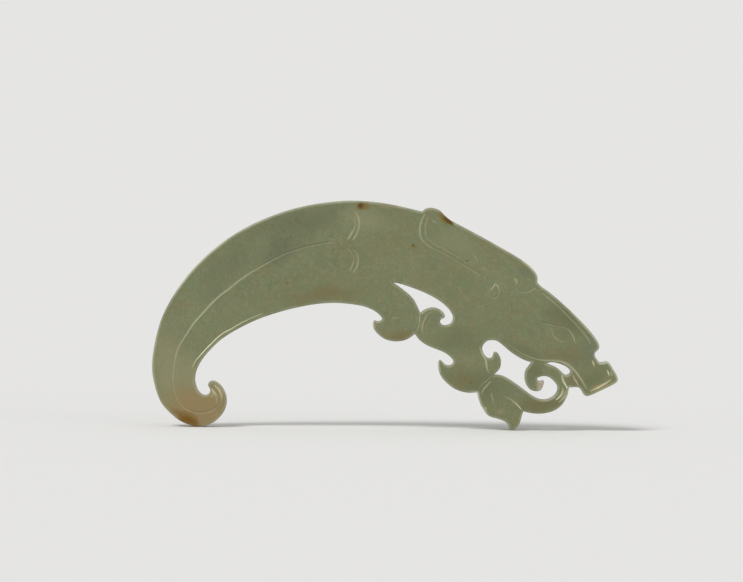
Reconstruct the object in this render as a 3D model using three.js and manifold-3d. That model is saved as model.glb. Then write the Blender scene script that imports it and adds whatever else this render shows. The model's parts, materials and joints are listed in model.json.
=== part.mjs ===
// A jade dragon plaque: one flat nephrite slab, pierced and carved as an arched dragon that curls its
// tail on the left and looks down to the right. It stands on the tail curl and on the claw, with its
// front face towards -Y, its length along X and its thickness along Y.
import * as THREE from 'three';
import { mergeVertices } from 'three/addons/utils/BufferGeometryUtils.js';
import Module from 'manifold-3d';

// Driving dimensions, in millimetres.
const plaqueLength = 110;
const plaqueHeight = 53.8;
const plaqueThickness = 5;
const edgeBevel = 0.4;
const incisedWidth = 0.5;
const incisedDepth = 0.25;
const incisedTaper = 1.6;
const chordError = 0.035;
const cutOverrun = 0.3;

// Shares that shape the corners and the ends of the incised lines.
const cornerReachShare = 0.7;
const tipReachShare = 0.95;
const lineEndShare = 0.35;
const probeShares = [0.25, 0.5, 0.75];

// The drawing leans towards the tail by leanShare of its rise over the level of the tail's outermost
// point and of the lip.
const leanShare = 0.0115;
const leanLevelShare = 0.245;

// The outer outline, clockwise from the notch behind the crest, as shares of the length, from the tail,
// and of the height, from the line on which the carving stands. Each run is one smooth stretch, which
// ends where the next run begins.
const crestShares = [
  [0.58, 0.956], [0.586, 0.967], [0.595, 0.973], [0.607, 0.971], [0.619, 0.96], [0.628, 0.941],
  [0.639, 0.922], [0.661, 0.898], [0.704, 0.852], [0.747, 0.804], [0.779, 0.767], [0.803, 0.735],
  [0.818, 0.708], [0.827, 0.678],
];
const snoutShares = [
  [0.827, 0.652], [0.834, 0.636], [0.854, 0.607], [0.875, 0.571], [0.897, 0.531], [0.918, 0.489],
  [0.94, 0.442], [0.953, 0.407], [0.96, 0.379], [0.959, 0.362], [0.953, 0.35], [0.95, 0.341],
  [0.952, 0.326],
];
const lipShares = [
  [0.961, 0.302], [0.97, 0.304], [0.976, 0.307], [0.982, 0.3], [0.989, 0.278], [0.998, 0.246],
  [1, 0.226], [0.995, 0.213], [0.978, 0.194], [0.957, 0.173], [0.942, 0.159], [0.933, 0.155],
  [0.927, 0.161], [0.922, 0.179], [0.917, 0.191], [0.908, 0.194],
];
const whiskerShares = [
  [0.895, 0.191], [0.893, 0.165], [0.887, 0.136], [0.877, 0.109], [0.863, 0.089], [0.845, 0.078],
  [0.826, 0.075], [0.809, 0.079],
];
const clawShares = [
  [0.797, 0.085], [0.794, 0.066], [0.791, 0.042], [0.786, 0.02], [0.778, 0.005], [0.771, 0],
  [0.767, 0.006], [0.765, 0.021], [0.758, 0.038], [0.745, 0.049], [0.73, 0.057], [0.72, 0.067],
  [0.712, 0.089], [0.705, 0.113], [0.701, 0.138],
];
const chestShares = [
  [0.698, 0.165], [0.682, 0.163], [0.665, 0.168], [0.648, 0.182], [0.633, 0.205], [0.62, 0.236],
  [0.615, 0.266], [0.615, 0.29], [0.617, 0.302], [0.622, 0.3], [0.628, 0.287], [0.636, 0.281],
  [0.644, 0.286], [0.647, 0.3], [0.643, 0.314], [0.634, 0.331], [0.62, 0.346], [0.601, 0.36],
  [0.585, 0.376], [0.573, 0.395],
];

// The longest run: the round scroll, the belly, the tail curl and the back.
const scrollShares = [
  [0.564, 0.419], [0.557, 0.407], [0.545, 0.393], [0.53, 0.386], [0.513, 0.387], [0.498, 0.397],
  [0.485, 0.417], [0.476, 0.44], [0.474, 0.461], [0.477, 0.475], [0.482, 0.472], [0.488, 0.472],
  [0.494, 0.482], [0.491, 0.495], [0.484, 0.509],
];
const bellyShares = [
  [0.471, 0.525], [0.453, 0.538], [0.425, 0.547], [0.393, 0.551], [0.356, 0.546], [0.318, 0.532],
  [0.275, 0.509], [0.232, 0.479], [0.189, 0.437], [0.15, 0.387], [0.126, 0.341], [0.107, 0.293],
  [0.095, 0.245], [0.092, 0.205],
];
const tailCurlShares = [
  [0.096, 0.17], [0.104, 0.146], [0.114, 0.138], [0.122, 0.146], [0.125, 0.162], [0.123, 0.173],
  [0.12, 0.186], [0.123, 0.197], [0.129, 0.202], [0.139, 0.196], [0.149, 0.178], [0.157, 0.149],
  [0.16, 0.115], [0.157, 0.081], [0.149, 0.053], [0.135, 0.025], [0.117, 0.006], [0.101, 0],
];
const backShares = [
  [0.082, 0.007], [0.06, 0.026], [0.04, 0.058], [0.02, 0.104], [0.008, 0.164], [0.001, 0.229],
  [0, 0.264], [0.001, 0.299], [0.007, 0.378], [0.02, 0.472], [0.04, 0.556], [0.068, 0.643],
  [0.104, 0.727], [0.151, 0.81], [0.21, 0.886], [0.285, 0.95], [0.356, 0.985], [0.429, 1],
  [0.5, 0.99], [0.554, 0.968],
];
const outlineShares = [
  crestShares, snoutShares, lipShares, whiskerShares, clawShares, chestShares,
  [...scrollShares, ...bellyShares, ...tailCurlShares, ...backShares],
];

// The pierced gaps, in the same shares: behind the neck, in the mouth round the whisker's curl, and
// between the jaw and the whisker. A gap starts at its sharp tip.
const neckGapShares = [
  [
    [0.516, 0.645], [0.532, 0.639], [0.558, 0.622], [0.584, 0.602], [0.608, 0.577], [0.628, 0.549],
    [0.64, 0.522], [0.646, 0.494], [0.643, 0.47], [0.634, 0.459], [0.624, 0.459], [0.618, 0.473],
    [0.621, 0.486], [0.627, 0.491], [0.629, 0.499], [0.626, 0.513], [0.617, 0.527], [0.605, 0.535],
    [0.592, 0.531], [0.583, 0.522],
  ],
  [[0.576, 0.511], [0.57, 0.538], [0.563, 0.565], [0.55, 0.594], [0.533, 0.621]],
];
const mouthGapShares = [
  [
    [0.815, 0.301], [0.81, 0.287], [0.802, 0.263], [0.8, 0.237], [0.802, 0.209], [0.81, 0.184],
    [0.822, 0.174], [0.834, 0.178], [0.839, 0.195], [0.841, 0.213], [0.838, 0.221], [0.834, 0.217],
    [0.828, 0.221], [0.827, 0.231], [0.834, 0.238], [0.843, 0.241], [0.854, 0.234], [0.863, 0.218],
    [0.87, 0.197], [0.87, 0.177], [0.865, 0.158], [0.856, 0.144], [0.843, 0.136], [0.829, 0.14],
    [0.813, 0.157], [0.795, 0.184], [0.776, 0.212], [0.758, 0.234], [0.745, 0.242],
  ],
  [
    [0.733, 0.243], [0.74, 0.256], [0.747, 0.275], [0.749, 0.299], [0.747, 0.322], [0.741, 0.34],
    [0.736, 0.343], [0.733, 0.336], [0.731, 0.321], [0.724, 0.315], [0.718, 0.32], [0.711, 0.34],
    [0.709, 0.362], [0.713, 0.38], [0.72, 0.392], [0.731, 0.396], [0.742, 0.391], [0.756, 0.369],
    [0.772, 0.342], [0.79, 0.319], [0.805, 0.306],
  ],
];
const jawSlitShares = [
  [
    [0.846, 0.296], [0.856, 0.302], [0.869, 0.299], [0.882, 0.29], [0.893, 0.277], [0.898, 0.262],
    [0.895, 0.249], [0.888, 0.246], [0.881, 0.256], [0.87, 0.275], [0.858, 0.287],
  ],
];

// The incised lines, in the same shares. Each is one smooth stroke, cut into both faces.
const tailLineShares = [
  [0.391, 0.822], [0.352, 0.808], [0.311, 0.786], [0.275, 0.756], [0.232, 0.707], [0.195, 0.659],
  [0.167, 0.613], [0.139, 0.567], [0.112, 0.509], [0.089, 0.455], [0.069, 0.393], [0.055, 0.345],
  [0.048, 0.292], [0.044, 0.23], [0.046, 0.169], [0.057, 0.112], [0.076, 0.077], [0.102, 0.063],
  [0.127, 0.073], [0.143, 0.102],
];
const tailTipLineShares = [
  [[0.133, 0.186], [0.143, 0.167], [0.149, 0.138], [0.149, 0.107]],
  [[0.128, 0.168], [0.136, 0.146], [0.139, 0.12], [0.136, 0.096]],
];
const bodyBandShares = [
  [[0.426, 0.954], [0.433, 0.924], [0.434, 0.889], [0.428, 0.859], [0.42, 0.832]],
  [[0.436, 0.954], [0.443, 0.926], [0.444, 0.893], [0.44, 0.861], [0.431, 0.828]],
  [[0.419, 0.792], [0.429, 0.771], [0.432, 0.744], [0.429, 0.717], [0.424, 0.693]],
  [[0.429, 0.79], [0.439, 0.77], [0.442, 0.744], [0.439, 0.713], [0.432, 0.685]],
];
const crestLineShares = [
  [
    [0.586, 0.947], [0.579, 0.923], [0.575, 0.892], [0.575, 0.861], [0.578, 0.839], [0.587, 0.819],
    [0.602, 0.8], [0.624, 0.779], [0.646, 0.754], [0.667, 0.727], [0.691, 0.699], [0.715, 0.668],
    [0.722, 0.648],
  ],
  [
    [0.591, 0.932], [0.586, 0.892], [0.588, 0.853], [0.6, 0.825], [0.62, 0.803], [0.639, 0.782],
    [0.661, 0.755],
  ],
];
const earLineShares = [
  [0.733, 0.651], [0.742, 0.633], [0.744, 0.608], [0.738, 0.586], [0.73, 0.583], [0.724, 0.602],
  [0.725, 0.628], [0.734, 0.656],
];
const browLineShares = [
  [0.824, 0.628], [0.809, 0.612], [0.794, 0.609], [0.783, 0.622], [0.78, 0.641], [0.785, 0.66],
];
const snoutLineShares = [
  [0.835, 0.61], [0.856, 0.577], [0.878, 0.537], [0.899, 0.493], [0.918, 0.452], [0.933, 0.414],
  [0.942, 0.383],
];
const eyeLineShares = [
  [
    [0.833, 0.479], [0.852, 0.471], [0.871, 0.462], [0.888, 0.455], [0.898, 0.438], [0.905, 0.411],
    [0.908, 0.388],
  ],
  [[0.858, 0.451], [0.86, 0.428], [0.868, 0.408], [0.879, 0.396], [0.892, 0.397]],
];
const jawLineShares = [
  [
    [0.762, 0.389], [0.776, 0.364], [0.793, 0.343], [0.81, 0.326], [0.828, 0.316], [0.85, 0.311],
    [0.872, 0.309], [0.89, 0.298], [0.905, 0.272], [0.917, 0.241], [0.926, 0.212], [0.933, 0.185],
  ],
  [[0.902, 0.25], [0.908, 0.227], [0.915, 0.203]],
];
const lipLineShares = [
  [[0.94, 0.177], [0.955, 0.192], [0.971, 0.21], [0.986, 0.23]],
  [[0.977, 0.272], [0.982, 0.245]],
  [[0.945, 0.313], [0.95, 0.285]],
];
const whiskerLineShares = [
  [[0.879, 0.246], [0.883, 0.22], [0.892, 0.189]],
  [[0.881, 0.195], [0.881, 0.173], [0.875, 0.152], [0.867, 0.136]],
  [[0.887, 0.182], [0.885, 0.161], [0.88, 0.141], [0.872, 0.125]],
];
const scrollLineShares = [
  [[0.575, 0.503], [0.573, 0.475], [0.57, 0.447], [0.567, 0.427]],
  [[0.601, 0.521], [0.591, 0.508], [0.585, 0.487], [0.58, 0.46], [0.579, 0.429], [0.585, 0.399]],
  [[0.598, 0.497], [0.591, 0.476], [0.588, 0.447]],
];
const chestLineShares = [
  [[0.703, 0.366], [0.709, 0.335], [0.716, 0.309], [0.718, 0.281], [0.722, 0.253]],
  [[0.73, 0.239], [0.719, 0.222], [0.709, 0.205], [0.7, 0.183]],
  [[0.728, 0.217], [0.719, 0.199], [0.711, 0.179], [0.706, 0.158]],
];
const clawLineShares = [
  [[0.728, 0.165], [0.731, 0.137], [0.733, 0.108]],
  [[0.757, 0.151], [0.77, 0.138], [0.782, 0.118], [0.793, 0.093]],
];
const incisedShares = [
  tailLineShares, ...tailTipLineShares, ...bodyBandShares, ...crestLineShares, earLineShares,
  browLineShares, snoutLineShares, ...eyeLineShares, ...jawLineShares, ...lipLineShares,
  ...whiskerLineShares, ...scrollLineShares, ...chestLineShares, ...clawLineShares,
];

const wasm = await Module();
wasm.setup();

// A point of the drawing, in millimetres, from the middle of the length and from the feet.
function place([alongShare, upShare]) {
  const lean = leanShare * (upShare - leanLevelShare) * plaqueHeight;
  return new THREE.Vector3((alongShare - 0.5) * plaqueLength - lean, upShare * plaqueHeight, 0);
}

// Points of one smooth stroke, so close that no chord leaves the curve by more than chordError.
function smoothStroke(shares) {
  const points = shares.map(place);
  const curve = new THREE.CatmullRomCurve3(points, false, 'centripetal');
  const spans = points.length - 1;
  const stroke = [];
  for (let span = 0; span < spans; span += 1) {
    const chord = new THREE.Line3(points[span], points[span + 1]);
    const bulges = probeShares.map((share) => {
      const onCurve = curve.getPoint((span + share) / spans);
      return chord.closestPointToPoint(onCurve, true, new THREE.Vector3()).distanceTo(onCurve);
    });
    const steps = Math.max(1, Math.ceil(Math.sqrt(Math.max(...bulges) / chordError)));
    for (let step = 0; step < steps; step += 1) {
      stroke.push(curve.getPoint((span + step / steps) / spans));
    }
  }
  stroke.push(points.at(-1));
  return stroke.map((point) => new THREE.Vector2(point.x, point.y));
}

// A closed loop of smooth runs, with a corner where one run meets the next.
function closedLoop(runs) {
  return runs.flatMap((run, index) => {
    const nextStart = runs[(index + 1) % runs.length][0];
    return smoothStroke([...run, nextStart]).slice(0, -1);
  });
}

// How far a point lies from the nearest edge of a loop.
function clearance(point, loop) {
  const spot = new THREE.Vector3(point.x, point.y, 0);
  return Math.min(...loop.map((corner, index) => {
    const next = loop[(index + 1) % loop.length];
    const edge = new THREE.Line3(
      new THREE.Vector3(corner.x, corner.y, 0),
      new THREE.Vector3(next.x, next.y, 0),
    );
    return edge.closestPointToPoint(spot, true, new THREE.Vector3()).distanceTo(spot);
  }));
}

// Where two edges cross, or null where they don't.
function crossing([start, end], [otherStart, otherEnd]) {
  const edge = end.clone().sub(start);
  const other = otherEnd.clone().sub(otherStart);
  const between = otherStart.clone().sub(start);
  const alongEdge = between.cross(other) / edge.cross(other);
  const alongOther = between.cross(edge) / edge.cross(other);
  const meets = [alongEdge, alongOther].every((share) => share > 0 && share < 1);
  return meets ? start.clone().addScaledVector(edge, alongEdge) : null;
}

// The loop with each small twist, where it crosses itself, cut off at the crossing.
function untwisted(loop) {
  for (let first = 0; first < loop.length; first += 1) {
    const [start, end, ...rest] = [...loop.slice(first), ...loop.slice(0, first)];
    const near = rest.slice(0, Math.floor(rest.length / 2));
    for (let next = near.length - 2; next >= 0; next -= 1) {
      const meeting = crossing([start, end], [near[next], near[next + 1]]);
      if (meeting) {
        return untwisted([start, meeting, ...rest.slice(next + 1)]);
      }
    }
  }
  return loop;
}

// The loop drawn inwards by a distance, or outwards where the distance is negative. A sharp corner
// moves no further than the distance over cornerReachShare, and points that would pass each other in
// a narrow tip are left out.
function drawnIn(loop, distance) {
  const turn = Math.sign(THREE.ShapeUtils.area(loop));
  const moved = loop.map((point, index) => {
    const arriving = point.clone().sub(loop.at(index - 1)).normalize();
    const leaving = loop[(index + 1) % loop.length].clone().sub(point).normalize();
    const along = arriving.clone().add(leaving).normalize();
    const reach = distance / Math.max(along.dot(arriving), cornerReachShare);
    return new THREE.Vector2(-along.y, along.x).multiplyScalar(turn * reach).add(point);
  });
  const kept = moved.filter((point) => clearance(point, loop) > tipReachShare * Math.abs(distance));
  return untwisted(kept);
}

// A closed geometry as a solid that can be cut.
function toSolid(geometry) {
  geometry.deleteAttribute('normal');
  geometry.deleteAttribute('uv');
  const merged = mergeVertices(geometry);
  return new wasm.Manifold(new wasm.Mesh({
    numProp: 3,
    vertProperties: merged.attributes.position.array,
    triVerts: new Uint32Array(merged.index.array),
  }));
}

// The pierced slab, with every edge bevelled by edgeBevel. The flat faces end that far inside the
// outline, and the bevel brings the sides back out to it. The outline is turned anticlockwise, so
// that the gaps run the other way.
function piercedSlab() {
  const outline = closedLoop(outlineShares).reverse();
  const face = new THREE.Shape(drawnIn(outline, edgeBevel));
  for (const gap of [neckGapShares, mouthGapShares, jawSlitShares]) {
    face.holes.push(new THREE.Path(drawnIn(closedLoop(gap), -edgeBevel)));
  }
  const flatDepth = plaqueThickness - 2 * edgeBevel;
  const slab = new THREE.ExtrudeGeometry(face, {
    depth: flatDepth,
    bevelThickness: edgeBevel,
    bevelSize: edgeBevel,
    bevelSegments: 1,
  });
  return toSolid(slab.translate(0, 0, -flatDepth / 2));
}

// The cutter of one incised line: a V that follows the stroke on one face, and grows shallower and
// narrower towards both ends. The side is 1 for the front face and -1 for the back.
function lineCutter(stroke, side) {
  const lengths = stroke.map((point, index) => (index ? point.distanceTo(stroke[index - 1]) : 0));
  const travelled = lengths.map((_, index) => lengths.slice(0, index + 1).reduce((a, b) => a + b));
  const total = travelled.at(-1);
  const faceHeight = plaqueThickness / 2;
  const corners = [];
  stroke.forEach((point, index) => {
    const before = stroke[Math.max(index - 1, 0)];
    const after = stroke[Math.min(index + 1, stroke.length - 1)];
    const along = after.clone().sub(before).normalize();
    const across = new THREE.Vector2(-along.y, along.x);
    const fromEnd = Math.min(travelled[index], total - travelled[index]);
    const fullness = Math.min(1, lineEndShare + (1 - lineEndShare) * (fromEnd / incisedTaper));
    const depth = incisedDepth * fullness;
    const halfTop = (incisedWidth / 2) * fullness * ((depth + cutOverrun) / depth);
    const left = point.clone().addScaledVector(across, halfTop);
    const right = point.clone().addScaledVector(across, -halfTop);
    corners.push(left.x, left.y, side * (faceHeight + cutOverrun));
    corners.push(right.x, right.y, side * (faceHeight + cutOverrun));
    corners.push(point.x, point.y, side * (faceHeight - depth));
  });
  const faces = [0, 2, 1];
  for (let ring = 0; ring < stroke.length - 1; ring += 1) {
    for (let corner = 0; corner < 3; corner += 1) {
      const near = 3 * ring + corner;
      const nearNext = 3 * ring + ((corner + 1) % 3);
      faces.push(near, nearNext, near + 3, nearNext, nearNext + 3, near + 3);
    }
  }
  const last = corners.length / 3 - 3;
  faces.push(last, last + 1, last + 2);
  if (side < 0) {
    faces.reverse();
  }
  const cutter = new THREE.BufferGeometry();
  cutter.setAttribute('position', new THREE.Float32BufferAttribute(corners, 3));
  cutter.setIndex(faces);
  return toSolid(cutter);
}

// The whole carving: the slab less its incised lines, front and back.
function carvedPlaque() {
  let stone = piercedSlab();
  for (const line of incisedShares) {
    const stroke = smoothStroke(line);
    stone = stone.subtract(lineCutter(stroke, 1)).subtract(lineCutter(stroke, -1));
  }
  const { vertProperties, triVerts } = stone.getMesh();
  const geometry = new THREE.BufferGeometry();
  geometry.setAttribute('position', new THREE.BufferAttribute(vertProperties, 3));
  geometry.setIndex(new THREE.BufferAttribute(triVerts, 1));
  const jade = new THREE.MeshStandardMaterial({
    color: 0x86886a,
    roughness: 0.35,
    metalness: 0,
    flatShading: true,
  });
  return new THREE.Mesh(geometry, jade);
}

const group = new THREE.Group();
const plaque = carvedPlaque();
plaque.name = 'jade_plaque';
plaque.rotation.x = Math.PI / 2;
group.add(plaque);

export default group;
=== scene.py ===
import json
import math

import bmesh
import bpy
import numpy as np
from mathutils import Matrix, Vector

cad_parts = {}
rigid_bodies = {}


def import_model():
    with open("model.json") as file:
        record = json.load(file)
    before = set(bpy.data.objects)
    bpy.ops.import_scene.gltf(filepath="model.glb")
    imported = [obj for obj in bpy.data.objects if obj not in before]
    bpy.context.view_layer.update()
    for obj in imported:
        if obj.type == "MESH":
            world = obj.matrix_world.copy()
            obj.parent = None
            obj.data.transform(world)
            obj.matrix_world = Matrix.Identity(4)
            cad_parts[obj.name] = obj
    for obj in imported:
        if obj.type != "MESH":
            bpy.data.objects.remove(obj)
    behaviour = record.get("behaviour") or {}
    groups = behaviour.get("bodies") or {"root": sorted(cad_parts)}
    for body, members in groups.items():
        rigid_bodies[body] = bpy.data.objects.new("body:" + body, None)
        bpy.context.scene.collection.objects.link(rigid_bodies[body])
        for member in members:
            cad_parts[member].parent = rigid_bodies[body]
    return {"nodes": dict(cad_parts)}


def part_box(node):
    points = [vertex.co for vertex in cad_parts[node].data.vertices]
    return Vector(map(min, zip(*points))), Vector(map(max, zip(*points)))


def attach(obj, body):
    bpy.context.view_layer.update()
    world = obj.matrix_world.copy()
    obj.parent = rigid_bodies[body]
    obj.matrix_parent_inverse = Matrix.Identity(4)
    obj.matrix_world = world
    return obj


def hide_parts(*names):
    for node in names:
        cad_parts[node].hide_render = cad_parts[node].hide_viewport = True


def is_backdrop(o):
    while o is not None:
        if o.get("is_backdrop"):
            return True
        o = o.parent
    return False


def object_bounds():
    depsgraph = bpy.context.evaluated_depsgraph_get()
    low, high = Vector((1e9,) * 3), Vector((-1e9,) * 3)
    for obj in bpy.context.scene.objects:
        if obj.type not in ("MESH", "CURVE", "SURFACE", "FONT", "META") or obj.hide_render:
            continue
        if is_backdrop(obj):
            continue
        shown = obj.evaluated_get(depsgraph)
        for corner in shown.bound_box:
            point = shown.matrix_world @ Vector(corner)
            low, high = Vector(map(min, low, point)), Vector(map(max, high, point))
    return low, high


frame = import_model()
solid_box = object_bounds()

# The slab: one piece of nephrite, sawn to two flat faces. Its outline and its gaps are cut through
# with a wire and abrasive, and every edge is then ground round and polished.
stone = frame["nodes"]["jade_plaque"]
low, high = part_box("jade_plaque")
drawn_length = 0.11
height = high.z - low.z
half_thickness = (high.y - low.y) / 2
lean_share = 0.0115
lean_level_share = 0.245
edge_round = 0.00045
round_steps = 5
flat_lead = 0.00012
worn_depth = 0.00035
side_wear_and_highlight = 0.75
round_wear_and_highlight_loss = 0.4
seam_reach = 2e-6
section_reach = 1e-8
straight_angle = math.radians(0.3)
outline_pace = 0.00027
least_gap = 1e-7
spacing_power = 0.5
notch_reach = 0.0003
notch_round = 0.00013
notch_steps = 4
corner_share = 0.7
depth_step = 0.00004
depth_overrun = 1.2
clear_share = 0.97
neighbours = (-2, -1, 0, 1, 2)
narrow_share = 0.9
face_cell = 0.0036
cut_reach = 1e-7
# The notches, which stay nearly sharp, as shares of the length and the height.
notch_shares = [
    (0.58, 0.956), (0.827, 0.652), (0.961, 0.302), (0.895, 0.191), (0.797, 0.085), (0.698, 0.165),
    (0.564, 0.419), (0.516, 0.645), (0.576, 0.511), (0.815, 0.301), (0.733, 0.243), (0.846, 0.296),
]


def place(shares):
    along, up = shares
    lean = lean_share * (up - lean_level_share) * height
    return np.array([(along - 0.5) * drawn_length - lean, low.z + up * height])


def smooth_run(points, pace):
    ends = [2 * points[0] - points[1], *points, 2 * points[-1] - points[-2]]
    run = []
    for before, start, end, after in zip(ends, ends[1:], ends[2:], ends[3:]):
        first = max(np.linalg.norm(start - before), least_gap) ** spacing_power
        second = first + max(np.linalg.norm(end - start), least_gap) ** spacing_power
        third = second + max(np.linalg.norm(after - end), least_gap) ** spacing_power
        steps = max(1, round(np.linalg.norm(end - start) / pace))
        for at in np.linspace(first, second, steps, endpoint=False):
            one = (before * (first - at) + start * at) / first
            two = (start * (second - at) + end * (at - first)) / (second - first)
            three = (end * (third - at) + after * (at - second)) / (third - second)
            near = (one * (second - at) + two * at) / second
            far = (two * (third - at) + three * (at - first)) / (third - first)
            run.append((near * (second - at) + far * (at - first)) / (second - first))
    run.append(points[-1])
    return run


def mid_plane_loops():
    section = bmesh.new()
    section.from_mesh(stone.data)
    bmesh.ops.remove_doubles(section, verts=section.verts, dist=seam_reach)
    bmesh.ops.bisect_plane(
        section, geom=[*section.verts, *section.edges, *section.faces], dist=section_reach,
        plane_co=(0, 0, 0), plane_no=(0, 1, 0), clear_inner=True, clear_outer=True,
    )
    bmesh.ops.dissolve_limit(
        section, angle_limit=straight_angle, verts=section.verts, edges=section.edges,
    )
    loops = []
    left = list(section.verts)
    while left:
        walk = [left[0]]
        while True:
            onward = [edge.other_vert(walk[-1]) for edge in walk[-1].link_edges]
            onward = [vert for vert in onward if vert not in walk]
            if not onward:
                break
            walk.append(onward[0])
        left = [vert for vert in left if vert not in walk]
        loops.append([np.array([vert.co.x, vert.co.z]) for vert in walk])
    section.free()
    return loops


def drawn_smooth(loop):
    notches = []
    for share in notch_shares:
        gaps = [np.linalg.norm(point - place(share)) for point in loop]
        if min(gaps) < notch_reach:
            notches.append(gaps.index(min(gaps)))
    notches = sorted(notches) or [0]
    smooth = []
    for start, end in zip(notches, [*notches[1:], notches[0] + len(loop)]):
        points = [loop[index % len(loop)] for index in range(start, end + 1)]
        run = smooth_run(points, outline_pace)
        near_start = [np.linalg.norm(point - run[0]) for point in run]
        near_end = [np.linalg.norm(point - run[-1]) for point in run]
        keep = [
            point for point, before, after in zip(run, near_start, near_end)
            if before > notch_round and after > notch_round
        ]
        smooth.append((run[0], keep))
    rounded = []
    for (notch, run), (_, last_run) in zip(smooth, [smooth[-1], *smooth[:-1]]):
        back, on = last_run[-1] - notch, run[0] - notch
        before = notch + back * notch_round / np.linalg.norm(back)
        after = notch + on * notch_round / np.linalg.norm(on)
        for share in np.linspace(0, 1, notch_steps + 1):
            left = 1 - share
            rounded.append(before * left ** 2 + notch * 2 * share * left + after * share ** 2)
        rounded.extend(run)
    return np.array(rounded)


def turned(loop, anticlockwise):
    onward = np.roll(loop, -1, 0)
    area = (loop[:, 0] * onward[:, 1] - onward[:, 0] * loop[:, 1]).sum()
    return loop if (area > 0) == anticlockwise else loop[::-1]


loops = sorted((drawn_smooth(loop) for loop in mid_plane_loops()), key=len, reverse=True)
loops = [turned(loop, index == 0) for index, loop in enumerate(loops)]
loops = [np.clip(loop, (low.x, low.z), (high.x, high.z)) for loop in loops]

# Every point's way into the stone, and how far it can go before the middle of a narrow part.
starts = np.concatenate(loops)
ends = np.concatenate([np.roll(loop, -1, 0) for loop in loops])
befores = np.concatenate([np.roll(loop, 1, 0) for loop in loops])
leaving = (ends - starts) / np.linalg.norm(ends - starts, axis=1)[:, None]
arriving = (starts - befores) / np.linalg.norm(starts - befores, axis=1)[:, None]
passing = leaving + arriving
passing /= np.linalg.norm(passing, axis=1)[:, None]
inward = np.stack([-passing[:, 1], passing[:, 0]], 1)
inward /= np.maximum((passing * leaving).sum(1), corner_share)[:, None]


def clearance(spots):
    edge = ends - starts
    size = (edge ** 2).sum(1)
    least = []
    for spot in spots:
        share = np.clip(((spot - starts) * edge).sum(1) / size, 0, 1)
        least.append(np.sqrt(((starts + share[:, None] * edge - spot) ** 2).sum(1).min()))
    return np.array(least)


full_inset = edge_round + flat_lead
open_depth = np.zeros(len(starts))
open_still = np.ones(len(starts), bool)
for step in np.arange(depth_step, depth_overrun * full_inset, depth_step):
    open_still &= clearance(starts + inward * step) > clear_share * step
    open_depth[open_still] = step
first = 0
for loop in loops:
    part = open_depth[first:first + len(loop)]
    part = np.min([np.roll(part, shift, 0) for shift in neighbours], 0)
    part = np.mean([np.roll(part, shift, 0) for shift in neighbours], 0)
    open_depth[first:first + len(loop)] = part
    first += len(loop)
fit = np.minimum(1, narrow_share * open_depth / full_inset)

# The rings, from the side to the flat face: how far in, how far from the middle of the thickness,
# which the ground round sets where none is given, and how worn, which also sets the rim's painted
# highlight.
turns = [math.pi / 2 * step / round_steps for step in range(1, round_steps + 1)]
side_level = half_thickness - edge_round
rings = [(0, side_level - worn_depth, 0), (0, side_level, side_wear_and_highlight)]
rings += [(edge_round * (1 - math.cos(turn)), None, 1 - round_wear_and_highlight_loss * turn) for turn in turns]
rings += [(full_inset, None, 0)]

body = bmesh.new()
index_layer = body.verts.layers.int.new("outline_index")
wear_and_highlight_layer = body.verts.layers.float.new("edge_wear_and_highlight")
ring = []
first = 0
for loop in loops:
    verts = [body.verts.new((point[0], 0, point[1])) for point in loop]
    for index, vert in enumerate(verts):
        vert[index_layer] = first + index
        ring.append(body.edges.new((vert, verts[(index + 1) % len(verts)])))
    first += len(loop)
for inset, level, ring_wear_and_highlight in rings:
    grown = bmesh.ops.extrude_edge_only(body, edges=ring)["geom"]
    ring = [part for part in grown if isinstance(part, bmesh.types.BMEdge) and part.is_boundary]
    for vert in [part for part in grown if isinstance(part, bmesh.types.BMVert)]:
        index = vert[index_layer]
        depth = inset * fit[index]
        spot = starts[index] + inward[index] * depth
        rise = math.sqrt(max(edge_round ** 2 - (edge_round - min(depth, edge_round)) ** 2, 0))
        vert.co = (spot[0], -(level or side_level + rise), spot[1])
        vert[wear_and_highlight_layer] = ring_wear_and_highlight
face_parts = bmesh.ops.triangle_fill(body, use_beauty=True, edges=ring, normal=(0, -1, 0))["geom"]
face_parts += [vert for edge in ring for vert in edge.verts]
face_parts = list(dict.fromkeys([*face_parts, *ring]))
for way in (0, 2):
    for cut in np.arange(low[way] + face_cell, high[way], face_cell):
        cut_spot = [0, 0, 0]
        cut_spot[way] = cut
        cut_way = [0, 0, 0]
        cut_way[way] = 1
        face_parts = bmesh.ops.bisect_plane(
            body, geom=face_parts, dist=cut_reach, plane_co=cut_spot, plane_no=cut_way,
        )["geom"]
bmesh.ops.mirror(body, geom=[*body.verts, *body.edges, *body.faces], merge_dist=cut_reach, axis="Y")
bmesh.ops.recalc_face_normals(body, faces=body.faces)
plaque_mesh = bpy.data.meshes.new("dragon_plaque")
body.to_mesh(plaque_mesh)
body.free()
plaque = bpy.data.objects.new("dragon_plaque", plaque_mesh)
bpy.context.scene.collection.objects.link(plaque)

# The incised lines: strokes cut into both polished faces with a small wheel and wet abrasive. Each is
# a round-bottomed groove, shallower where the wheel enters and leaves. Its stone stays dull and pale.
groove_half = 0.00025
groove_depth = 0.0002
fine_share = 0.55
groove_taper = 0.0016
groove_end_share = 0.35
groove_pace = 0.00025
least_pale = 0.05
groove_corner = math.radians(32)
groove_seam_reach = 1e-8
groove_mirror_reach = 1e-9
merge_reach = 2e-7
flat_limit = 0.999
off_rim_limit = 0.01
# Half of the groove's section, as shares of its half width and its depth.
groove_section = [(1.4, 0.4), (1, 0), (0.72, -0.5), (0.38, -0.87), (0, -1)]
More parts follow.
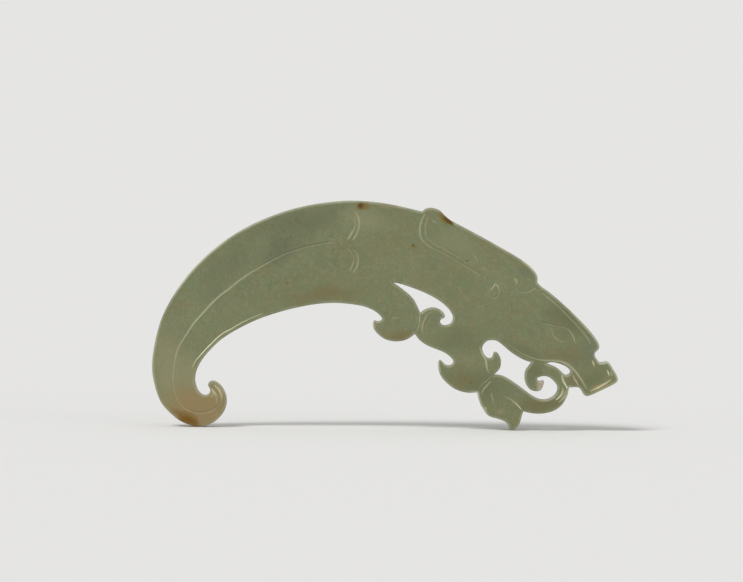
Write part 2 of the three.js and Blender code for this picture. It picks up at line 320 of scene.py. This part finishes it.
# A stroke: how pale it is along its way, then its points, as shares of the length and the height.
tail_strokes = [
    ((0.01, 0.03, 0.08, 0.24, 0.34, 0.34, 0.2, 0.1, 0.08, 0.08), [
        (0.391, 0.822), (0.352, 0.808), (0.311, 0.786), (0.275, 0.756), (0.232, 0.707), (0.195, 0.659),
        (0.167, 0.613), (0.139, 0.567), (0.112, 0.509), (0.089, 0.455), (0.069, 0.393), (0.055, 0.345),
        (0.048, 0.292), (0.044, 0.23), (0.046, 0.169), (0.057, 0.112), (0.076, 0.077), (0.102, 0.063),
        (0.127, 0.073), (0.143, 0.102),
    ]),
    ((0.6, 0.5, 0.06), [(0.133, 0.186), (0.143, 0.167), (0.149, 0.138), (0.149, 0.107)]),
    ((0.95, 0.18, 0.08), [(0.128, 0.168), (0.136, 0.146), (0.139, 0.12), (0.136, 0.096)]),
]
body_strokes = [
    ((0.02, 0.1, 0.5), [(0.426, 0.954), (0.433, 0.924), (0.434, 0.889), (0.428, 0.859), (0.42, 0.832)]),
    ((0.25, 0.2, 0.35), [(0.436, 0.954), (0.443, 0.926), (0.444, 0.893), (0.44, 0.861), (0.431, 0.828)]),
    ((0.1, 0.08, 0.28), [(0.419, 0.792), (0.429, 0.771), (0.432, 0.744), (0.429, 0.717), (0.424, 0.693)]),
    ((0.14, 0.16, 0.33), [(0.429, 0.79), (0.439, 0.77), (0.442, 0.744), (0.439, 0.713), (0.432, 0.685)]),
]
head_strokes = [
    ((0.28, 0.26, 0.05, 0.04, 0.06, 0.06), [
        (0.586, 0.947), (0.579, 0.923), (0.575, 0.892), (0.575, 0.861), (0.578, 0.839), (0.587, 0.819),
        (0.602, 0.8), (0.624, 0.779), (0.646, 0.754), (0.667, 0.727), (0.691, 0.699), (0.715, 0.668),
        (0.722, 0.648),
    ]),
    ((0.18, 0.07, 0.06), [
        (0.591, 0.932), (0.586, 0.892), (0.588, 0.853), (0.6, 0.825), (0.62, 0.803), (0.639, 0.782),
        (0.661, 0.755),
    ]),
    ((0.42, 0.06, 0.04, 0.14), [
        (0.735, 0.648), (0.742, 0.632), (0.744, 0.608), (0.738, 0.586), (0.73, 0.583), (0.724, 0.602),
        (0.724, 0.626), (0.728, 0.644),
    ]),
    ((0.24, 0.04, 0.08), [
        (0.824, 0.628), (0.809, 0.612), (0.794, 0.609), (0.783, 0.622), (0.78, 0.641), (0.785, 0.66),
    ]),
    ((0.18, 0.13, 0.16), [
        (0.835, 0.61), (0.856, 0.577), (0.878, 0.537), (0.899, 0.493), (0.918, 0.452), (0.933, 0.414),
        (0.942, 0.383),
    ]),
    ((0.02, 0.05, 0.26), [
        (0.833, 0.479), (0.852, 0.471), (0.871, 0.462), (0.888, 0.455), (0.898, 0.438), (0.905, 0.411),
        (0.908, 0.388),
    ]),
    ((0.18, 0.1, 0.12), [(0.858, 0.451), (0.86, 0.428), (0.868, 0.408), (0.879, 0.396), (0.892, 0.397)]),
    ((0.07, 0.08, 0.18, 0.35, 0.33, 0.22), [
        (0.762, 0.389), (0.776, 0.364), (0.793, 0.343), (0.81, 0.326), (0.828, 0.316), (0.85, 0.311),
        (0.872, 0.309), (0.89, 0.298), (0.905, 0.272), (0.917, 0.241), (0.926, 0.212), (0.933, 0.185),
    ]),
    ((0.4, 0.35, 0.5), [(0.902, 0.25), (0.908, 0.227), (0.915, 0.203)]),
    ((0.4, 0.68, 0.42), [(0.94, 0.177), (0.955, 0.192), (0.971, 0.21), (0.986, 0.23)]),
    ((0.42, 0.78, 0.5), [(0.977, 0.272), (0.982, 0.245)]),
    ((0.34, 0.75, 0.34), [(0.945, 0.313), (0.95, 0.285)]),
]
scroll_strokes = [
    ((0.75, 0.6, 1), [(0.879, 0.246), (0.883, 0.22), (0.892, 0.189)]),
    ((0.3, 0.6, 1), [(0.881, 0.195), (0.881, 0.173), (0.875, 0.152), (0.867, 0.136)]),
    ((0.3, 0.35, 0.3), [(0.887, 0.182), (0.885, 0.161), (0.88, 0.141), (0.872, 0.125)]),
    ((0.5, 0.08, 0.15), [(0.575, 0.503), (0.573, 0.475), (0.57, 0.447), (0.567, 0.427)]),
    ((0.12, 0.24, 0), [
        (0.601, 0.521), (0.591, 0.508), (0.585, 0.487), (0.58, 0.46), (0.579, 0.429), (0.585, 0.399),
    ]),
    ((0.01, 0.01, 0.05), [(0.598, 0.497), (0.591, 0.476), (0.588, 0.447)]),
    ((0.4, 0.36, 0.26), [(0.703, 0.366), (0.709, 0.335), (0.716, 0.309), (0.718, 0.281), (0.722, 0.253)]),
    ((0.08, 0.14, 0.05), [(0.73, 0.239), (0.719, 0.222), (0.709, 0.205), (0.7, 0.183)]),
    ((0.35, 0.25, 0.25), [(0.728, 0.217), (0.719, 0.199), (0.711, 0.179), (0.706, 0.158)]),
    ((0.28, 0.16, 0.02), [(0.728, 0.165), (0.731, 0.137), (0.733, 0.108)]),
    ((0.12, 0.22, 0.68), [(0.757, 0.151), (0.77, 0.138), (0.782, 0.118), (0.793, 0.093)]),
]
fine_strokes = [
    ((0.2, 1, 0.95, 0.75, 0.45, 0.3), [
        (0.085, 0.253), (0.093, 0.289), (0.104, 0.315), (0.113, 0.337), (0.126, 0.364), (0.139, 0.391),
        (0.154, 0.415), (0.171, 0.434), (0.19, 0.458), (0.209, 0.477), (0.227, 0.494), (0.239, 0.502),
    ]),
    ((0.6, 0.5, 0.5), [(0.127, 0.131), (0.131, 0.143), (0.13, 0.156)]),
    ((0.12, 0.1), [(0.144, 0.079), (0.138, 0.058), (0.127, 0.048)]),
    ((0.15, 0.45, 0.1), [(0.599, 0.923), (0.606, 0.912), (0.614, 0.906)]),
    ((0.4, 0.22, 0.02), [(0.693, 0.763), (0.696, 0.75), (0.7, 0.737)]),
    ((0.9, 0.6, 0.9), [(0.736, 0.641), (0.732, 0.63), (0.729, 0.617)]),
    # This short groove at the lip's front is pale as a painted highlight on the lip's edge.
    ((0.6, 0.6), [(0.984, 0.264), (0.988, 0.246)]),
    ((0.4, 0.1, 0.35), [(0.514, 0.486), (0.521, 0.491), (0.528, 0.487)]),
    ((0.6, 0.6), [(0.886, 0.206), (0.889, 0.195), (0.89, 0.184)]),
]


def traced(points):
    run = np.array(smooth_run([place(point) for point in points], groove_pace))
    gone = np.concatenate([[0], np.cumsum(np.linalg.norm(run[1:] - run[:-1], axis=1))])
    return run, gone


def flat_line(name, cyclic, spots, radii):
    line = bpy.data.curves.new(name, "CURVE")
    line.dimensions = "2D"
    line.fill_mode = "NONE"
    spline = line.splines.new("POLY")
    spline.points.add(len(spots) - 1)
    spline.use_cyclic_u = cyclic
    for point, spot, radius in zip(spline.points, spots, radii):
        point.co = (*spot, 0, 1)
        point.radius = radius
    piece = bpy.data.objects.new(name, line)
    bpy.context.scene.collection.objects.link(piece)
    return piece


whole_section = groove_section + [(-across, rise) for across, rise in reversed(groove_section[:-1])]
section_spots = [(across * groove_half, rise * groove_depth) for across, rise in whole_section]
wheel_section = flat_line("wheel_section", True, section_spots, [1] * len(section_spots))
strokes = [(stroke, 1) for stroke in tail_strokes + body_strokes + head_strokes + scroll_strokes]
strokes += [(stroke, fine_share) for stroke in fine_strokes]
sweeps = []
for (paleness, points), width_share in strokes:
    run, gone = traced(points)
    entry = np.minimum(1, np.minimum(gone, gone[-1] - gone) / groove_taper)
    radii = width_share * (groove_end_share + (1 - groove_end_share) * entry)
    sweep = flat_line("stroke", False, run, radii)
    sweep.data.bevel_mode = "OBJECT"
    sweep.data.bevel_object = wheel_section
    sweep.data.use_fill_caps = True
    knots = np.linspace(0, 1, len(paleness))
    paleness = least_pale + (1 - least_pale) * np.interp(gone / gone[-1], knots, paleness)
    sweeps.append((sweep, run, paleness))
bpy.context.view_layer.update()
depsgraph = bpy.context.evaluated_depsgraph_get()
grooves = bpy.data.collections.new("grooves")
bpy.context.scene.collection.children.link(grooves)
for sweep, run, paleness in sweeps:
    groove_mesh = bpy.data.meshes.new_from_object(sweep.evaluated_get(depsgraph))
    groove = bmesh.new()
    groove.from_mesh(groove_mesh)
    bmesh.ops.remove_doubles(groove, verts=groove.verts, dist=groove_seam_reach)
    upright = Matrix.Rotation(math.pi / 2, 3, "X")
    bmesh.ops.rotate(groove, cent=(0, 0, 0), matrix=upright, verts=groove.verts)
    bmesh.ops.translate(groove, vec=(0, -half_thickness, 0), verts=groove.verts)
    pale_layer = groove.faces.layers.float.new("groove_pale")
    for face in groove.faces:
        middle = face.calc_center_median()
        face[pale_layer] = paleness[np.hypot(run[:, 0] - middle.x, run[:, 1] - middle.z).argmin()]
    whole = [*groove.verts, *groove.edges, *groove.faces]
    bmesh.ops.mirror(groove, geom=whole, merge_dist=groove_mirror_reach, axis="Y")
    bmesh.ops.recalc_face_normals(groove, faces=groove.faces)
    groove.to_mesh(groove_mesh)
    groove.free()
    grooves.objects.link(bpy.data.objects.new("groove", groove_mesh))
    bpy.data.objects.remove(sweep)
bpy.data.objects.remove(wheel_section)
plaque_mesh.attributes.new("groove_pale", "FLOAT", "FACE")
cutting = plaque.modifiers.new("cutting", "BOOLEAN")
cutting.operation = "DIFFERENCE"
cutting.solver = "MANIFOLD"
cutting.operand_type = "COLLECTION"
cutting.collection = grooves
bpy.context.view_layer.update()
depsgraph = bpy.context.evaluated_depsgraph_get()
carved_mesh = bpy.data.meshes.new_from_object(plaque.evaluated_get(depsgraph))
plaque.modifiers.remove(cutting)
plaque.data = carved_mesh
for groove in list(grooves.objects):
    bpy.data.objects.remove(groove)
bpy.data.collections.remove(grooves)
carved = bmesh.new()
carved.from_mesh(carved_mesh)
bmesh.ops.triangulate(carved, faces=carved.faces)
bmesh.ops.remove_doubles(carved, verts=carved.verts, dist=merge_reach)
bmesh.ops.dissolve_degenerate(carved, edges=carved.edges, dist=merge_reach)
pale_layer = carved.faces.layers.float["groove_pale"]
wear_and_highlight_layer = carved.verts.layers.float["edge_wear_and_highlight"]
for face in carved.faces:
    off_rim = all(vert[wear_and_highlight_layer] < off_rim_limit for vert in face.verts)
    face.smooth = abs(face.normal.y) <= flat_limit or not off_rim or face[pale_layer] > 0
for edge in carved.edges:
    cut_sides = {face[pale_layer] > 0 for face in edge.link_faces}
    edge.smooth = len(cut_sides) == 1 and edge.calc_face_angle(0) < groove_corner
carved.to_mesh(carved_mesh)
carved.free()
carved_mesh.uv_layers.remove(carved_mesh.uv_layers[0])

# The stone's look: olive-grey celadon nephrite, greyer along the outer arc and tan where it lay close
# to the skin of the pebble, with a few russet stains and dark flecks. It is hand polished to a waxy
# gloss, and its grooves are paler than the faces. Its ground edges are paler too, partly from wear and
# partly from a painted highlight.
stone_colour = (124, 128, 96)
pale_cloud_colour = (132, 135, 103)
pale_top_colour = (136, 138, 107)
grey_cloud_colour = (114, 119, 92)
grey_arc_colour = (107, 112, 87)
mottle_colour = (88, 93, 68)
bluish_colour = (112, 120, 98)
pale_skin_colour = (142, 140, 107)
tan_skin_colour = (149, 130, 92)
curl_colour = (147, 135, 98)
warm_colour = (121, 114, 79)
amber_colour = (118, 88, 14)
golden_colour = (118, 102, 24)
russet_colour = (94, 72, 6)
russet_halo_colour = (124, 104, 50)
fleck_colour = (88, 88, 54)
shade_colour = (111, 114, 84)
jaw_colour = (126, 112, 84)
pinkish_colour = (150, 138, 114)
pinkish_tip_colour = (176, 162, 142)
bright_chip_colour = (164, 166, 132)
warm_tint_colour = (130, 124, 90)
green_tint_colour = (117, 129, 98)
pale_fibre_colour = (138, 141, 109)
dark_fibre_colour = (110, 113, 84)
# The worn edges' colour is also their painted highlight.
worn_edge_and_highlight_colour = (190, 190, 168)
groove_colour = (226, 224, 190)
# Each stain: its colour and strength, its middle, its half width and height, its lean and soft edge.
stains = [
    (grey_arc_colour, 0.4, (0.157, 0.715), (0.015, 0.005), -48, 0.1),
    (grey_arc_colour, 0.65, (0.318, 0.9), (0.019, 0.0048), -15, 0.1),
    (grey_arc_colour, 0.85, (0.274, 0.776), (0.0095, 0.0045), -25, 0.1),
    (grey_cloud_colour, 0.8, (0.137, 0.57), (0.0045, 0.0035), -45, 0.1),
    (pale_top_colour, 0.85, (0.46, 0.905), (0.009, 0.004), 8, 0.1),
    (pale_top_colour, 0.5, (0.65, 0.8), (0.0095, 0.0045), 27, 0.1),
    (shade_colour, 0.6, (0.665, 0.385), (0.0075, 0.004), 0, 0.1),
    (shade_colour, 0.7, (0.794, 0.36), (0.007, 0.0024), 27, 0.1),
    (shade_colour, 0.8, (0.704, 0.2), (0.0105, 0.005), 10, 0.1),
    (shade_colour, 0.95, (0.895, 0.49), (0.01, 0.0055), 45, 0.1),
    (shade_colour, 0.8, (0.822, 0.266), (0.0032, 0.0042), 0, 0.1),
    (shade_colour, 0.7, (0.945, 0.235), (0.0055, 0.004), -20, 0.1),
    (bluish_colour, 0.5, (0.614, 0.486), (0.003, 0.003), 0, 0.1),
    (bluish_colour, 0.6, (0.798, 0.7), (0.0025, 0.0016), 25, 0.1),
    (bluish_colour, 0.4, (0.77, 0.18), (0.003, 0.002), 20, 0.1),
    (bluish_colour, 0.6, (0.94, 0.355), (0.0024, 0.0045), -20, 0.1),
    (pale_skin_colour, 0.85, (0.034, 0.25), (0.0075, 0.015), -12, 0.1),
    (pale_skin_colour, 0.8, (0.084, 0.235), (0.0035, 0.008), -8, 0.1),
    (tan_skin_colour, 0.9, (0.098, 0.068), (0.013, 0.0088), 8, 0.3),
    (curl_colour, 0.8, (0.14, 0.16), (0.0036, 0.0048), 0, 0.2),
    (warm_colour, 0.75, (0.37, 0.585), (0.0145, 0.003), -6, 0.1),
    (warm_colour, 0.9, (0.532, 0.392), (0.0065, 0.003), 0, 0.2),
    (warm_colour, 0.4, (0.88, 0.34), (0.01, 0.0024), 8, 0.1),
    (shade_colour, 0.8, (0.838, 0.113), (0.009, 0.0034), 0, 0.1),
    (warm_colour, 0.6, (0.843, 0.108), (0.0085, 0.0026), 0, 0.1),
    (warm_colour, 0.6, (0.665, 0.21), (0.005, 0.0026), 0, 0.2),
    (warm_colour, 0.2, (0.5, 0.8), (0.006, 0.005), 0, 0.1),
    (jaw_colour, 0.5, (0.906, 0.222), (0.0024, 0.0034), -20, 0.1),
    (tan_skin_colour, 0.7, (0.968, 0.2), (0.0042, 0.0011), -25, 0.3),
    (pinkish_tip_colour, 0.9, (0.835, 0.195), (0.0015, 0.0022), -15, 0.3),
    (pinkish_colour, 0.6, (0.481, 0.468), (0.0013, 0.0016), 0, 0.2),
    (pinkish_colour, 0.6, (0.712, 0.708), (0.0012, 0.0009), 0, 0.2),
    (pinkish_colour, 0.5, (0.676, 0.575), (0.0011, 0.0008), 0, 0.2),
    (pinkish_colour, 0.6, (0.747, 0.082), (0.0013, 0.001), 0, 0.2),
    (bright_chip_colour, 0.6, (0.781, 0.655), (0.0006, 0.0009), -20, 0.4),
    (bright_chip_colour, 0.9, (0.716, 0.094), (0.0004, 0.0005), 0, 0.5),
    (russet_halo_colour, 0.5, (0.56, 0.803), (0.0012, 0.0011), 0, 0.2),
    (fleck_colour, 0.8, (0.56, 0.807), (0.0005, 0.0004), 0, 0.4),
    (fleck_colour, 0.95, (0.676, 0.742), (0.0005, 0.0003), 0, 0.4),
    (fleck_colour, 0.6, (0.684, 0.208), (0.0003, 0.0004), 0, 0.4),
]
# The skin stains, which lie over the worn edges.
skin_stains = [
    (russet_halo_colour, 0.8, (0.453, 0.976), (0.0026, 0.0014), 0, 0.2),
    (russet_colour, 0.95, (0.449, 0.982), (0.0009, 0.0011), 0, 0.3),
    (pinkish_colour, 0.4, (0.497, 0.982), (0.0055, 0.0007), 8, 0.1),
    (golden_colour, 0.85, (0.6285, 0.932), (0.0027, 0.0015), 47, 0.3),
    (russet_colour, 0.95, (0.6355, 0.918), (0.0019, 0.0007), 42, 0.5),
    (pinkish_colour, 0.5, (0.599, 0.966), (0.0024, 0.0008), 0, 0.1),
    (amber_colour, 0.95, (0.0745, 0.018), (0.0066, 0.0018), 35, 0.2),
]
# The edges with the strongest painted highlight: each one's middle, its half width and height, its lean
# and soft edge.
painted_highlight_edges = [
    ((0.1, 0.73), (0.013, 0.004), -48, 0.4), ((0.816, 0.705), (0.004, 0.0035), 40, 0.3),
    ((0.94, 0.42), (0.009, 0.003), 52, 0.3), ((0.974, 0.25), (0.0068, 0.006), 0, 0.5),
    ((0.888, 0.19), (0.002, 0.005), -10, 0.4), ((0.835, 0.193), (0.0016, 0.0022), 0, 0.4),
    ((0.478, 0.462), (0.0015, 0.0015), 0, 0.4), ((0.625, 0.507), (0.0015, 0.002), 0, 0.4),
    ((0.62, 0.28), (0.0012, 0.002), 0, 0.4), ((0.704, 0.125), (0.0018, 0.006), -25, 0.4),
]
painted_highlight_share = 0.6
plain_share = 0.3
patchy_share = 0.3
# Each cloud that runs all through the stone: how large it is, its detail and place in the noise,
# where it starts and where it is full, and its colour and strength.
clouds = [
    (0.013, 3, 1, (0.42, 0.62), pale_cloud_colour, 0.7),
    (0.008, 4, 2, (0.5, 0.7), grey_cloud_colour, 0.6),
    (0.0022, 2, 14, (0.45, 0.7), warm_tint_colour, 0.6),
    (0.0026, 2, 15, (0.45, 0.7), green_tint_colour, 0.6),
    (0.0013, 2, 17, (0.45, 0.7), pale_fibre_colour, 0.45),
    (0.0005, 2, 16, (0.45, 0.7), dark_fibre_colour, 0.5),
]
# The other patterns of the stone and its polish: how large each is, its detail and place in the noise.
mottle_grain = (0.0011, 4, 7)
mottle_patches = (0.013, 2, 8)
wear_and_highlight_patches = (0.004, 2, 9)
gloss_patches = (0.004, 4, 10)
scratch_pattern = (1, 2, 11)
polish_waves = (0.0045, 1, 12)
polish_grain = (0.0004, 2, 13)
noise_roughness = 0.55
noise_middle = 0.5
mottle_range = (0.52, 0.72)
mottle_patch_range = (0.4, 0.6)
mottle_share = 0.12
arc_mottle_share = 0.3
mottled_arc = ((0.25, 0.7), (0.034, 0.014), -32, 0.3)
# How the stains' outlines wander: the size of their waves, how far these reach, and their place in
# the noise. The small stains wander by the first alone, and the large ones by both.
stain_drift = [(0.0012, 0.0009, 5), (0.007, 0.005, 3)]
small_stain = 0.0035
stain_depth_share = 3
wear_and_highlight_patch_range = (0.35, 0.6)
scratch_range = (0.58, 0.7)
scratch_stretch = (80, 80, 3200)
scratch_lean = math.radians(24)
gloss_light = 0.013
least_light = 0.004
waxy_gloss = 0.36
gloss_change = 0.18
dull_groove = 0.2
relief_reach = 0.001
polish_wave_height = 0.02
scratch_height = 0.0014
grain_height = 0.0012
nephrite_bending = 1.61
waxy_bloom = 0.2
glow_share = 0.25
glow_reach = 0.0006
glow_colour = (1, 0.95, 0.6)
screen_steps = 255
screen_toe = 0.055
screen_power = 2.4


def paint(colour):
    shares = [step / screen_steps for step in colour]
    linear = [((share + screen_toe) / (1 + screen_toe)) ** screen_power for share in shares]
    return (*[max(level - gloss_light, least_light) for level in linear], 1)


class Finish:
    def __init__(self, tree, socket=None):
        self.tree = tree
        self.socket = socket

    def node(self, kind, settings, inputs, output=0):
        made = self.tree.nodes.new("ShaderNode" + kind)
        for name, setting in settings.items():
            setattr(made, name, setting)
        for name, value in inputs.items():
            if isinstance(value, Finish):
                self.tree.links.new(value.socket, made.inputs[name])
            else:
                made.inputs[name].default_value = value
        return Finish(self.tree, made.outputs[output])

    def maths(self, operation, first, second):
        return self.node("Math", {"operation": operation}, {0: first, 1: second})

    def __add__(self, other):
        return self.maths("ADD", self, other)

    def __sub__(self, other):
        return self.maths("SUBTRACT", self, other)

    def __rsub__(self, other):
        return self.maths("SUBTRACT", other, self)

    def __mul__(self, other):
        return self.maths("MULTIPLY", self, other)

    __radd__ = __add__
    __rmul__ = __mul__

    def rising(self, start, end):
        spread = {"Value": self, "From Min": start, "From Max": end}
        return self.node("MapRange", {"interpolation_type": "SMOOTHSTEP"}, spread)

    def over(self, under, colour):
        return self.node("Mix", {"data_type": "RGBA"}, {0: self, 6: under, 7: colour}, 2)


nephrite = bpy.data.materials.new("nephrite_polish")
nephrite.use_nodes = True
polish = nephrite.node_tree.nodes["Principled BSDF"]
stone_spot = Finish(nephrite.node_tree).node("TexCoord", {}, {}, "Object")


def cloud(size, detail, shift, spots=stone_spot, output=0):
    moved = {0: spots, 1: (shift, shift, shift)}
    moved = stone_spot.node("VectorMath", {"operation": "ADD"}, moved)
    grain = {"Vector": moved, "Scale": 1 / size, "Detail": detail, "Roughness": noise_roughness}
    return stone_spot.node("TexNoise", {}, grain, output)


drifted_spots = [stone_spot]
for size, reach, shift in stain_drift:
    drift = {0: cloud(size, 1, shift, output=1), 1: (noise_middle, noise_middle, noise_middle)}
    drift = stone_spot.node("VectorMath", {"operation": "SUBTRACT"}, drift)
    drift = stone_spot.node("VectorMath", {"operation": "SCALE"}, {0: drift, 3: reach})
    drift = {0: drifted_spots[-1], 1: drift}
    drifted_spots.append(stone_spot.node("VectorMath", {"operation": "ADD"}, drift))


def stain(middle, reach, lean, edge):
    x, z = place(middle)
    drifted_spot = drifted_spots[1] if reach[0] < small_stain else drifted_spots[2]
    spread = {
        "Vector": drifted_spot, "Location": (x, -half_thickness, z),
        "Rotation": (0, math.radians(lean), 0),
        "Scale": (reach[0], stain_depth_share * reach[0], reach[1]),
    }
    near = stone_spot.node("Mapping", {"vector_type": "TEXTURE"}, spread)
    return stone_spot.node("VectorMath", {"operation": "LENGTH"}, {0: near}, 1).rising(1, edge)


edge_wear_and_highlight = stone_spot.node("Attribute", {"attribute_name": "edge_wear_and_highlight"}, {}, "Fac")
groove_pale = stone_spot.node("Attribute", {"attribute_name": "groove_pale"}, {}, "Fac")
colour = paint(stone_colour)
for size, detail, shift, (start, full), cloud_colour, strength in clouds:
    patches = cloud(size, detail, shift).rising(start, full) * strength
    colour = patches.over(colour, paint(cloud_colour))
for stain_colour, strength, *shape in stains:
    colour = (stain(*shape) * strength).over(colour, paint(stain_colour))
mottle = cloud(*mottle_grain).rising(*mottle_range)
mottle = mottle * cloud(*mottle_patches).rising(*mottle_patch_range)
mottle = mottle * (mottle_share + arc_mottle_share * stain(*mottled_arc))
colour = mottle.over(colour, paint(mottle_colour))
# The rim's paleness is partly real wear and partly a painted highlight, and it is patchy along the rim.
rim_wear_and_highlight = plain_share + patchy_share * cloud(*wear_and_highlight_patches).rising(*wear_and_highlight_patch_range)
# The listed edges add a painted highlight on top of the rim's paleness.
for shape in painted_highlight_edges:
    rim_wear_and_highlight = rim_wear_and_highlight + painted_highlight_share * stain(*shape)
colour = (edge_wear_and_highlight * rim_wear_and_highlight).over(colour, paint(worn_edge_and_highlight_colour))
for stain_colour, strength, *shape in skin_stains:
    colour = (stain(*shape) * strength).over(colour, paint(stain_colour))
colour = groove_pale.over(colour, paint(groove_colour))
roughness = waxy_gloss + gloss_change * (cloud(*gloss_patches) - noise_middle)
roughness = roughness + dull_groove * groove_pale
leaning = {"Vector": stone_spot, "Rotation": (0, scratch_lean, 0), "Scale": scratch_stretch}
scratched_spot = stone_spot.node("Mapping", {"vector_type": "POINT"}, leaning)
scratches = cloud(*scratch_pattern, scratched_spot).rising(*scratch_range)
relief = polish_wave_height * cloud(*polish_waves) + grain_height * cloud(*polish_grain)
relief = {"Strength": 1, "Distance": relief_reach, "Height": relief - scratch_height * scratches}
bumps = stone_spot.node("Bump", {}, relief, "Normal")
for name, finish in {"Base Color": colour, "Roughness": roughness, "Normal": bumps}.items():
    nephrite.node_tree.links.new(finish.socket, polish.inputs[name])
polish.inputs["IOR"].default_value = nephrite_bending
polish.inputs["Specular IOR Level"].default_value = waxy_bloom
polish.inputs["Subsurface Weight"].default_value = glow_share
polish.inputs["Subsurface Radius"].default_value = glow_colour
polish.inputs["Subsurface Scale"].default_value = glow_reach
carved_mesh.materials.clear()
carved_mesh.materials.append(nephrite)
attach(plaque, "root")
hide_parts("jade_plaque")

# The ground and the room: a plain pale table top that fades into a backdrop of nearly the same
# colour, with an even light from all around. They aren't part of the carving.
ground_reach = 3
ground_sides = 64
ground_level = low.z
ground_roughness = 0.9
ground_gloss = 0.1
fade_start = 0.05
fade_end = 2.4
ground_colour = (0.84, 0.835, 0.82, 1)
backdrop_colour = (0.79, 0.785, 0.772, 1)
room_level = 0.5
ground_shape = bmesh.new()
bmesh.ops.create_circle(ground_shape, cap_ends=True, radius=ground_reach, segments=ground_sides)
bmesh.ops.translate(ground_shape, vec=(0, 0, ground_level), verts=ground_shape.verts)
ground_mesh = bpy.data.meshes.new("ground")
ground_shape.to_mesh(ground_mesh)
ground_shape.free()
ground = bpy.data.objects.new("ground", ground_mesh)
bpy.context.scene.collection.objects.link(ground)
ground_look = bpy.data.materials.new("pale_ground")
ground_look.use_nodes = True
matt = ground_look.node_tree.nodes["Principled BSDF"]
matt.inputs["Base Color"].default_value = ground_colour
matt.inputs["Roughness"].default_value = ground_roughness
matt.inputs["Specular IOR Level"].default_value = ground_gloss


def straight_view(tree):
    names = ("Is Camera Ray", "Is Glossy Ray", "Is Transmission Ray")
    first, second, third = [Finish(tree).node("LightPath", {}, {}, name) for name in names]
    return first.maths("MAXIMUM", first.maths("MAXIMUM", first, second), third)


ground_tree = ground_look.node_tree
ground_spot = Finish(ground_tree).node("TexCoord", {}, {}, "Object")
ground_away = ground_spot.node("VectorMath", {"operation": "LENGTH"}, {0: ground_spot}, 1)
fade = ground_away.rising(fade_start, fade_end) * straight_view(ground_tree)
far_ground = ground_spot.node("Emission", {}, {"Color": backdrop_colour})
near_ground = Finish(ground_tree, matt.outputs[0])
faded = ground_spot.node("MixShader", {}, {0: fade, 1: near_ground, 2: far_ground})
ground_tree.links.new(faded.socket, ground_tree.nodes["Material Output"].inputs["Surface"])
ground_mesh.materials.append(ground_look)
ground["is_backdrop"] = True
room = bpy.data.worlds.new("room")
bpy.context.scene.world = room
room.use_nodes = True
room_light = Finish(room.node_tree).node("Background", {}, {"Color": (1, 1, 1, 1), "Strength": room_level})
backdrop = room_light.node("Background", {}, {"Color": backdrop_colour})
seen = {0: straight_view(room.node_tree), 1: room_light, 2: backdrop}
seen = room_light.node("MixShader", {}, seen)
room.node_tree.links.new(seen.socket, room.node_tree.nodes["World Output"].inputs["Surface"])

# The lamps and the camera: two plain soft lights, the stronger one high on the left, and a long lens
# that faces the front of the carving from just above the table.
carving_middle = (low + high) / 2
lamps = {
    "key": ((-0.55, -0.65, 0.95), 22, 1.75),
    "fill": ((0.8, -0.75, 0.25), 45, 0.35),
}
picture_width = 743
carving_width = 466.1
off_middle = (14.4, -23.8)
camera_distance = 1.8
camera_rise = math.radians(1.5)
camera_roll = math.radians(0.66)
for name, (stand, softness, strength) in lamps.items():
    light = bpy.data.lights.new(name, "SUN")
    light.angle = math.radians(softness)
    light.energy = strength
    lamp = bpy.data.objects.new(name, light)
    lamp.location = stand
    lamp.rotation_mode = "QUATERNION"
    lamp.rotation_quaternion = (carving_middle - Vector(stand)).to_track_quat("-Z", "Y")
    bpy.context.scene.collection.objects.link(lamp)
pixel = drawn_length / carving_width
lens = bpy.data.cameras.new("camera")
lens.lens = lens.sensor_width * (camera_distance - half_thickness) / (pixel * picture_width)
camera = bpy.data.objects.new("camera", lens)
backward = Vector((0, -math.cos(camera_rise), math.sin(camera_rise)))
aim = carving_middle - Vector((off_middle[0] * pixel, 0, off_middle[1] * pixel))
camera.location = aim + backward * camera_distance
camera.rotation_mode = "QUATERNION"
level_view = (-backward).to_track_quat("-Z", "Y").to_matrix()
camera.rotation_quaternion = (level_view @ Matrix.Rotation(camera_roll, 3, "Z")).to_quaternion()
bpy.context.scene.collection.objects.link(camera)
bpy.context.scene.camera = camera
bpy.context.scene.view_settings.view_transform = "Standard"

visual_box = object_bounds()
boxes = {"solid": solid_box, "visual": visual_box}
boxes = {name: [list(corner) for corner in box] for name, box in boxes.items()}
